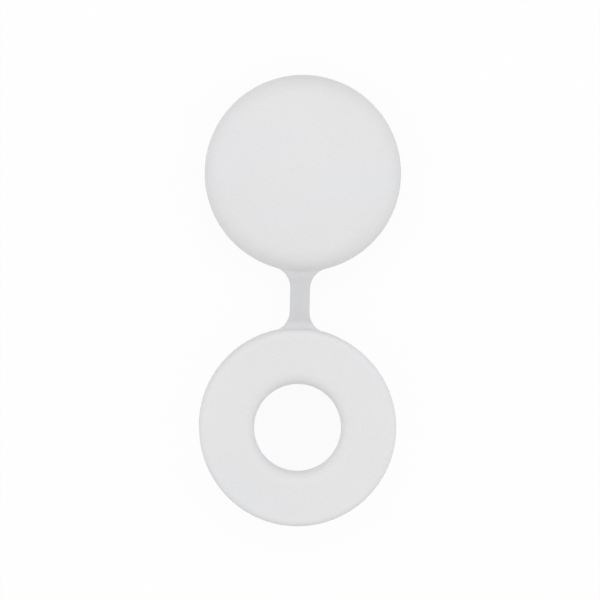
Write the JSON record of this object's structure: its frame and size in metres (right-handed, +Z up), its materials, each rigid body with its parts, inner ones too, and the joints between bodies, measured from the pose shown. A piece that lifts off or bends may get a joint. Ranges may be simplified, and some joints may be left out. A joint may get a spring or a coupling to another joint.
{
  "type": "hinged screw hole cover cap",
  "caption": "Fold-over screw hole cover: a holed washer cup and a domed snap cap joined by a short flexible strap, moulded in one piece.",
  "frame": {"origin": "on the surface that the open moulding lies on, under the middle of its length and width", "axes": "+Y along the strap from the washer to the cap, +Z up, out of the dome and out of the washer's panel face, X across"},
  "size_m": [0.012, 0.0274, 0.0039],
  "materials": {
    "white_plastic": "satin"
  },
  "bodies": {
    "root": {"screw_cover_cap": "white_plastic"}
  },
  "joints": []
}
